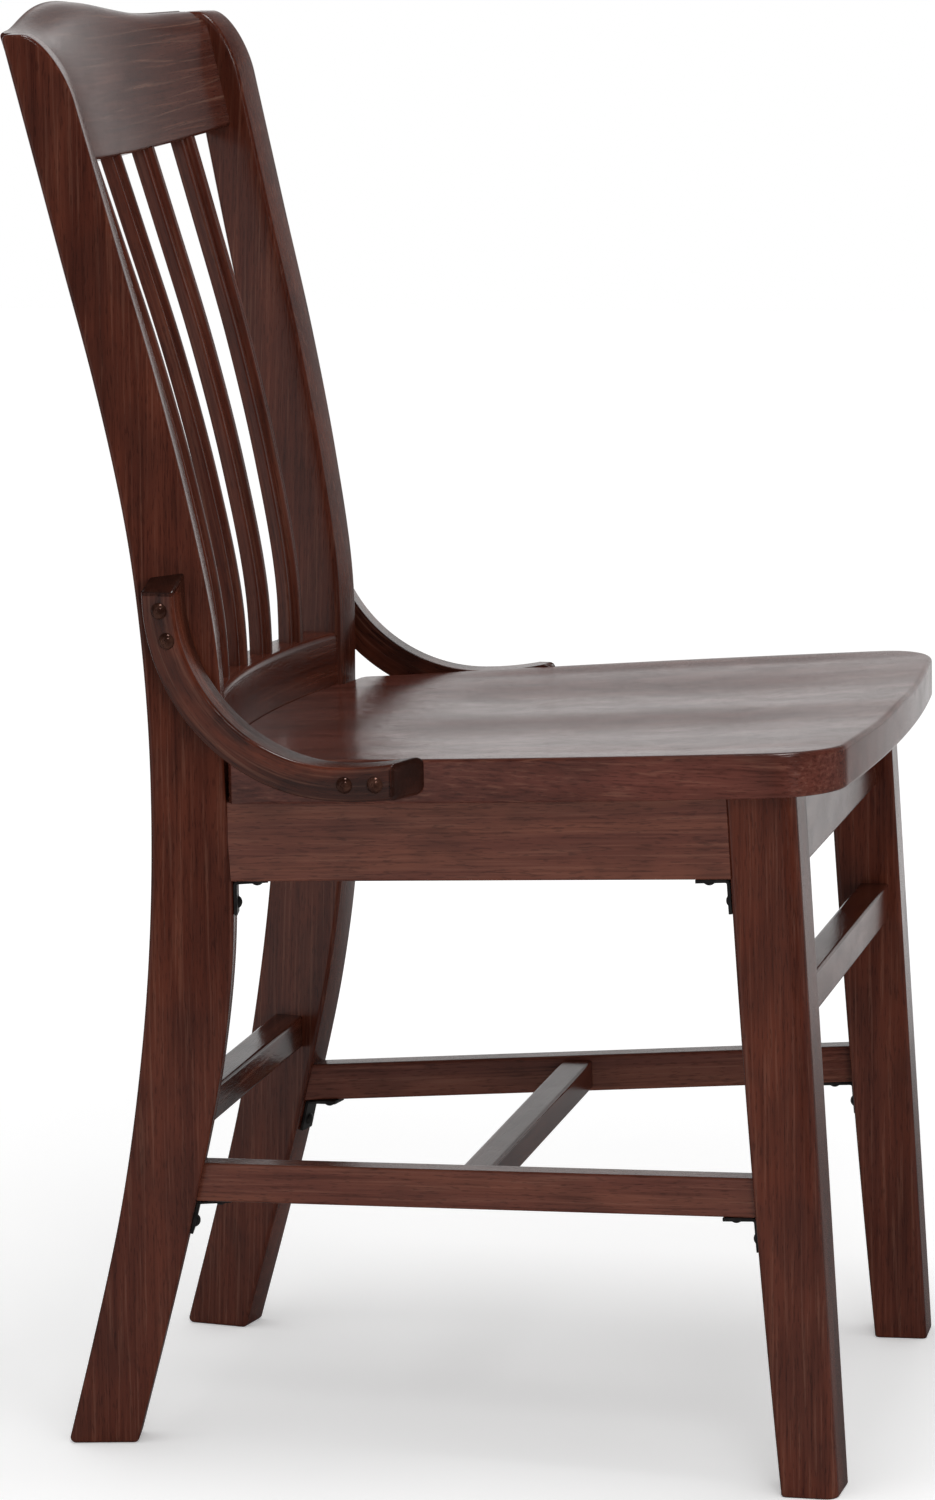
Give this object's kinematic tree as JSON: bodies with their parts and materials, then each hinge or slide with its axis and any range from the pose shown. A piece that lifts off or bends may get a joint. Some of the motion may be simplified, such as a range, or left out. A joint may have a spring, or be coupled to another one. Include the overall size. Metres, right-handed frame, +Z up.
{
  "type": "schoolhouse chair",
  "caption": "Wooden dining chair with a saddled seat, a slatted and curved back, stretchers and bent side braces from posts to seat.",
  "frame": {"origin": "on the floor, at the middle of the chair's outline seen from above", "axes": "+Z up, the chair's front towards -Y, the sitter's left towards +X"},
  "size_m": [0.43, 0.5345, 0.8794],
  "materials": {
    "walnut_stain": "dark walnut stain under satin lacquer",
    "walnut_stain_dark": "darker walnut stain under satin lacquer",
    "stained_screws": "steel screws coated to match the stain",
    "dark_steel": "dark coated steel, satin"
  },
  "bodies": {
    "root": {"seat": "walnut_stain", "back_post_right": "walnut_stain", "back_post_left": "walnut_stain", "front_leg_right": "walnut_stain", "front_leg_left": "walnut_stain", "crest_rail": "walnut_stain", "lower_back_rail": "walnut_stain", "back_slat_1": "walnut_stain", "back_slat_2": "walnut_stain", "back_slat_3": "walnut_stain", "back_slat_4": "walnut_stain", "back_slat_5": "walnut_stain", "side_apron_right": "walnut_stain", "side_apron_left": "walnut_stain", "front_apron": "walnut_stain", "rear_apron": "walnut_stain_dark", "side_stretcher_right": "walnut_stain", "side_stretcher_left": "walnut_stain", "front_stretcher": "walnut_stain", "rear_stretcher": "walnut_stain_dark", "centre_stretcher": "walnut_stain", "side_brace_right": "walnut_stain_dark", "side_brace_left": "walnut_stain_dark", "brace_screws": "stained_screws", "apron_brackets": "dark_steel", "stretcher_brackets": "dark_steel", "bracket_screws": "dark_steel", "corner_blocks": "walnut_stain", "block_screws": "dark_steel", "seat_screws": "dark_steel"}
  },
  "joints": []
}
